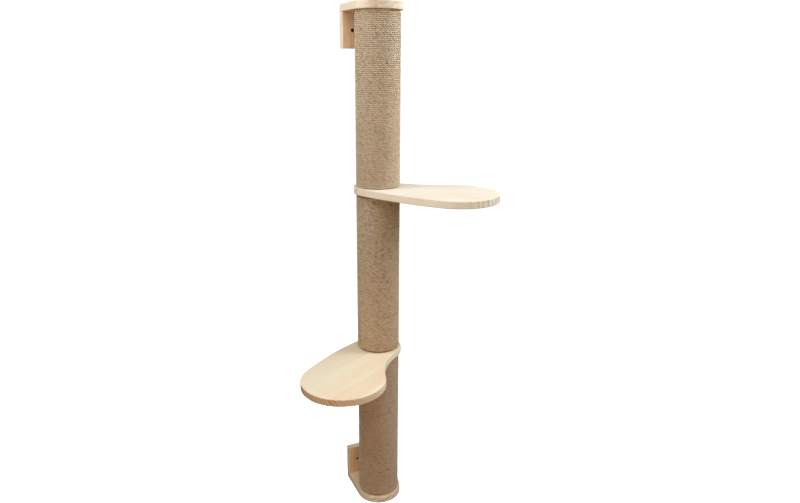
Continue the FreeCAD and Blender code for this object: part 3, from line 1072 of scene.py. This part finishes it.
    def _add_maps(self, mesh: bpy.types.Mesh, numbers: np.ndarray) -> None:
        """Adds the map along the lay and the map for baking, one strip for each turn.

        Args:
            mesh: The cord's mesh.
            numbers: The numbers of its rings.
        """
        spans = len(numbers) - 1
        ring, side = np.divmod(np.arange(spans * self.sides), self.sides)
        corner_ring = ring[:, None] + np.array([0, 1, 1, 0])
        corner_side = side[:, None] + np.array([0, 0, 1, 1])
        lay_along = (corner_ring + numbers[0]) * self._step
        lay = np.stack([lay_along, corner_side * (self.STRANDS / self.sides)], axis=-1)
        strips = math.ceil(spans / self.RINGS_A_TURN) + 1
        strip = (ring // self.RINGS_A_TURN)[:, None]
        across = (corner_ring - strip * self.RINGS_A_TURN) / self.RINGS_A_TURN
        inside = self.SIDE_MARGIN + (1 - 2 * self.SIDE_MARGIN) * corner_side / self.sides
        across = self.END_MARGIN + (1 - 2 * self.END_MARGIN) * across
        bake = np.stack([across, (strip + inside) / strips], axis=-1)
        turn = np.arange(self.sides) * math.tau / self.sides
        disc = np.stack([np.cos(turn), np.sin(turn)], axis=-1)
        discs = (disc, disc[::-1])
        caps_lay = [cap * self.CAP_LAY_SIZE + self.CAP_LAY_PLACE for cap in discs]
        last_strip = 1 - 0.5 / strips
        caps_bake = [
            cap * (self.CAP_SIZE / strips) + (place, last_strip)
            for cap, place in zip(discs, self.CAP_PLACES)
        ]
        for name, quads, caps in (
            (self.LAY_MAP, lay, caps_lay),
            (self.BAKE_MAP, bake, caps_bake),
        ):
            layer = mesh.uv_layers.new(name=name, do_init=False)
            values = np.concatenate([quads.reshape(-1, 2), *caps]).astype(np.float32)
            layer.uv.foreach_set("vector", values.ravel())


class Level(Enum):
    """The three post sections, from the top."""

    UPPER = "upper"
    MIDDLE = "middle"
    LOWER = "lower"


class End(Enum):
    """The two ends of the post, or of one of its sections."""

    TOP = "top"
    BOTTOM = "bottom"


@dataclass
class PostSection:
    """A paperboard tube with a turned plug in each end, wound with cord from end to end.

    A plug is turned from one piece of wood, so its stave is wider than the plug.
    """

    level: Level
    base: float
    rope: RopeFinish
    begin: float
    turns: float
    height: float = 0.410
    winding_start: float = 0.0025
    stretches: int = 4
    first_seed: int = 40
    plug_stave: float = 0.5
    paperboard: PaperboardFinish = field(default_factory=PaperboardFinish)

    def build(self) -> Iterator[str]:
        """Winds the cord, and dresses the tube and its plugs.

        Yields:
            The name of each piece.
        """
        level = self.level.value
        order = list(Level).index(self.level)
        climb = (self.height - 2 * self.winding_start) / self.turns
        rings = round(self.turns * CordMesh.RINGS_A_TURN)
        seed = self.first_seed + order
        cord = CordMesh(self.base, self.winding_start, climb, rings, self.begin, seed)
        rope = self.rope.material(f"{level}_rope", cord.lay)
        cuts = [rings * number // self.stretches for number in range(self.stretches + 1)]
        for number, (first, last) in enumerate(zip(cuts, cuts[1:]), start=1):
            name = f"{level}_rope_{number}"
            piece = cord.build(name, first, last)
            piece.data.materials.append(rope)
            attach(piece, "post")
            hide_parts(f"{level}_rope_winding")
            yield name
        yield dress(f"{level}_core_tube", self.paperboard.material(f"{level}_board"))
        axes = BoardAxes(POST_AXIS, UP, SIDEWAYS)
        plug = PineFinish(seed=float(order), stave_width=self.plug_stave)
        finish = plug.material(f"{level}_turned_wood", axes)
        for end in End:
            yield dress(f"{level}_{end.value}_plug", finish)


@dataclass
class Shelf:
    """A pear-shaped pine board that is clamped between two post sections."""

    level: Level
    bearing: float
    middle: float
    pine: PineFinish
    grain_turn: float = 0.0

    def build(self) -> Iterator[str]:
        """Dresses the board with its grain along its length, or turned a little from it.

        Yields:
            The name of the piece.
        """
        angle = math.radians(self.bearing + self.grain_turn)
        along = Vector((math.cos(angle), math.sin(angle), 0.0))
        axes = BoardAxes(POST_AXIS + UP * self.middle, along, UP.cross(along))
        finish = self.pine.material(f"{self.level.value}_shelf_pine", axes)
        yield dress(f"{self.level.value}_shelf", finish)


@dataclass
class Bracket:
    """An end plate and a wall plate of pine, with the bolt, washer and screws that hold them."""

    end: End
    plate_middle: float
    end_pine: PineFinish
    wall_pine: PineFinish
    hole_drop: float = 0.051
    hole_spacing: float = 0.068
    zinc: ZincFinish = field(default_factory=ZincFinish)

    def build(self) -> Iterator[str]:
        """Dresses the two boards and the steel.

        Yields:
            The name of each piece.
        """
        end = self.end.value
        end_axes = BoardAxes(POST_AXIS + UP * self.plate_middle, BACKWARDS, -SIDEWAYS)
        wall_axes = BoardAxes(UP * self.plate_middle, UP, SIDEWAYS)
        drop = -self.hole_drop if self.end is End.TOP else self.hole_drop
        bores = tuple((drop, side * self.hole_spacing / 2) for side in (-1, 1))
        for board, pine, axes in (
            (f"{end}_end_plate", self.end_pine, end_axes),
            (f"{end}_wall_plate", replace(self.wall_pine, bores=bores), wall_axes),
        ):
            yield dress(board, pine.material(f"{board}_pine", axes))
        steel = self.zinc.material(f"{end}_zinc")
        for part in ("end_bolt", "end_washer", "bracket_screws"):
            yield dress(f"{end}_{part}", steel)


@dataclass
class JoiningHardware:
    """The studs that go through the shelves, and the threaded inserts in the plugs."""

    zinc: ZincFinish = field(default_factory=ZincFinish)

    def build(self) -> Iterator[str]:
        """Dresses the steel.

        Yields:
            The name of each piece.
        """
        steel = self.zinc.material("joining_zinc")
        for node in ("upper_joining_stud", "lower_joining_stud", "threaded_inserts"):
            yield dress(node, steel)


@dataclass(frozen=True)
class SoftBox:
    """A soft area light that is aimed at a height on the post."""

    name: str
    place: tuple[float, float, float]
    aim: float
    size: tuple[float, float]
    power: float
    colour: tuple[float, float, float] = (1.0, 1.0, 1.0)
    spread: float = 180.0

    AIM_DEPTH = -0.1

    def build(self) -> None:
        """Hangs the light."""
        data = bpy.data.lights.new(self.name, "AREA")
        data.shape = "RECTANGLE"
        data.size, data.size_y = self.size
        data.energy = self.power
        data.color = self.colour
        data.spread = math.radians(self.spread)
        lamp = bpy.data.objects.new(self.name, data)
        lamp.location = self.place
        ray = Vector((0.0, self.AIM_DEPTH, self.aim)) - Vector(self.place)
        lamp.rotation_euler = ray.to_track_quat("-Z", "Y").to_euler()
        lamp.visible_camera = False
        bpy.context.scene.collection.objects.link(lamp)


@dataclass
class Camera:
    """The camera, where the photograph was taken from."""

    place: Vector = field(default_factory=lambda: Vector((-0.59974, -1.53519, 0.51630)))
    yaw: float = 24.626
    pitch: float = 15.519
    roll: float = 0.441
    focal_pixels: float = 638.86
    raised_pixels: float = 11.2
    sensor: float = 36.0
    nearest: float = 0.05

    def build(self) -> None:
        """Sets up the camera and makes it the scene's own."""
        data = bpy.data.cameras.new("photo_camera")
        data.sensor_width = self.sensor
        data.lens = self.focal_pixels * self.sensor / IMAGE_WIDTH
        data.shift_y = -self.raised_pixels / IMAGE_WIDTH
        data.clip_start = self.nearest
        yaw, pitch, roll = (math.radians(a) for a in (self.yaw, self.pitch, self.roll))
        level = Vector((math.sin(yaw), math.cos(yaw), 0.0))
        sideways = Vector((math.cos(yaw), -math.sin(yaw), 0.0))
        upright = math.sin(pitch) * level + math.cos(pitch) * UP
        right = math.cos(roll) * sideways + math.sin(roll) * upright
        top = math.cos(roll) * upright - math.sin(roll) * sideways
        camera = bpy.data.objects.new("photo_camera", data)
        turn = Matrix((right, top, right.cross(top))).transposed()
        camera.matrix_world = Matrix.Translation(self.place) @ turn.to_4x4()
        bpy.context.scene.collection.objects.link(camera)
        bpy.context.scene.camera = camera


@dataclass
class Studio:
    """A pale floor well below the hanging post, soft lights, white surroundings and the camera."""

    floor_height: float = -1.25
    floor_radius: float = 30.0
    floor_corners: int = 64
    floor_sun: float = 3.7
    ambient: float = 0.091
    ambient_colour: Colour = (1.0, 0.96, 0.85, 1.0)
    backdrop: float = 1.06
    backdrop_colour: Colour = tint(255, 255, 255)
    boxes: tuple[SoftBox, ...] = (
        SoftBox("overhead_box", (0.1, -0.4, 1.75), 0.3, (1.0, 1.0), 9.2, (0.6, 0.81, 1.0)),
        SoftBox("high_front_box", (-0.3, -1.2, 1.6), 0.2, (0.9, 0.9), 6.4, (0.63, 0.85, 1.0)),
        SoftBox("right_box", (1.2, -0.7, 1.0), 0.35, (0.6, 0.8), 14.8, (0.9, 0.96, 1.0)),
        SoftBox("side_box", (1.3, -0.25, 0.85), 0.72, (0.5, 0.6), 1.9, (0.74, 1.0, 0.96), 80.0),
        SoftBox("low_right_box", (1.3, -0.8, 0.1), 0.0, (0.6, 1.4), 1.56, (1.0, 0.95, 0.82)),
        SoftBox("high_left_box", (-0.95, -0.1, 1.6), 0.4, (0.6, 0.6), 10.4, (0.95, 1.0, 0.98)),
        SoftBox("left_box", (-1.3, 0.0, 0.75), 0.72, (0.4, 0.4), 1.35, (0.93, 1.0, 0.98), 84.0),
        SoftBox("front_box", (-0.45, -1.95, 0.9), 0.2, (1.0, 1.0), 9.2, (1.0, 0.87, 0.75)),
        SoftBox("low_front_box", (-0.45, -1.7, -0.55), -0.4, (0.8, 0.8), 5.4, (1.0, 0.69, 0.43)),
        SoftBox("low_left_box", (-1.2, -0.35, -0.2), -0.4, (0.6, 0.8), 2.2, (1.0, 0.75, 0.52)),
        SoftBox("back_box", (0.25, 1.9, -0.5), -0.1, (1.0, 0.8), 20.0),
    )

    def build(self) -> None:
        """Sets the stage."""
        self._floor()
        self._surroundings()
        for box in self.boxes:
            box.build()
        Camera().build()
        bpy.context.scene.view_settings.view_transform = "Standard"

    def _floor(self) -> None:
        """Lays the floor, with an even light that reaches nothing else."""
        mesh = bpy.data.meshes.new("floor")
        ring = [
            (self.floor_radius * math.cos(a), self.floor_radius * math.sin(a), self.floor_height)
            for a in np.linspace(0, math.tau, self.floor_corners, endpoint=False)
        ]
        mesh.from_pydata(ring, [], [list(range(self.floor_corners))])
        floor = bpy.data.objects.new("floor", mesh)
        mesh.materials.append(FloorFinish().material("pale_floor"))
        bpy.context.scene.collection.objects.link(floor)
        floor.visible_diffuse = False
        floor.visible_glossy = False
        even = bpy.data.lights.new("floor_light", "SUN")
        even.energy = self.floor_sun
        lamp = bpy.data.objects.new("floor_light", even)
        bpy.context.scene.collection.objects.link(lamp)
        only_floor = bpy.data.collections.new("lit_by_floor_light")
        only_floor.objects.link(floor)
        lamp.light_linking.receiver_collection = only_floor
        lamp.light_linking.blocker_collection = only_floor

    def _surroundings(self) -> None:
        """Makes the surroundings white to look at and softer as a light."""
        world = bpy.data.worlds.new("white_studio")
        world.use_nodes = True
        bpy.context.scene.world = world
        graph = Graph(world.node_tree)
        seen = graph.node("ShaderNodeLightPath").outputs["Is Camera Ray"]
        soft, white = (
            graph.node("ShaderNodeBackground", inputs={"Color": colour, "Strength": strength})
            for colour, strength in (
                (self.ambient_colour, self.ambient),
                (self.backdrop_colour, self.backdrop),
            )
        )
        shaders = {0: seen, 1: soft.outputs[0], 2: white.outputs[0]}
        both = graph.node("ShaderNodeMixShader", inputs=shaders)
        graph.node("ShaderNodeOutputWorld", inputs={"Surface": both.outputs[0]})


def main() -> None:
    """Builds and dresses the sub-assemblies in order, then sets the stage."""
    logging.basicConfig(level=logging.INFO, format="%(name)s: %(message)s")
    assemblies = (
        Bracket(End.TOP, plate_middle=0.642, end_pine=FLAT_SAWN, wall_pine=STREAKED),
        PostSection(Level.UPPER, base=0.223, rope=BRIGHT_LIT_ROPE, begin=128.0, turns=95.42),
        Shelf(Level.UPPER, bearing=-47.7, middle=0.214, pine=QUARTER_SAWN),
        PostSection(
            Level.MIDDLE, base=-0.205, rope=HALF_LIT_ROPE, begin=-72.0, turns=95.6, winding_start=0.0036
        ),
        Shelf(Level.LOWER, bearing=-136.5, middle=-0.214, pine=RIFT_SAWN, grain_turn=-13.5),
        PostSection(Level.LOWER, base=-0.633, rope=DIM_LIT_ROPE, begin=-102.0, turns=96.0),
        Bracket(End.BOTTOM, plate_middle=-0.642, end_pine=HONEYED, wall_pine=AMBER),
        JoiningHardware(),
    )
    for assembly in assemblies:
        for piece in assembly.build():
            log.info("%s: %s", type(assembly).__name__, piece)
    Studio().build()


if __name__ == "__main__":
    main()
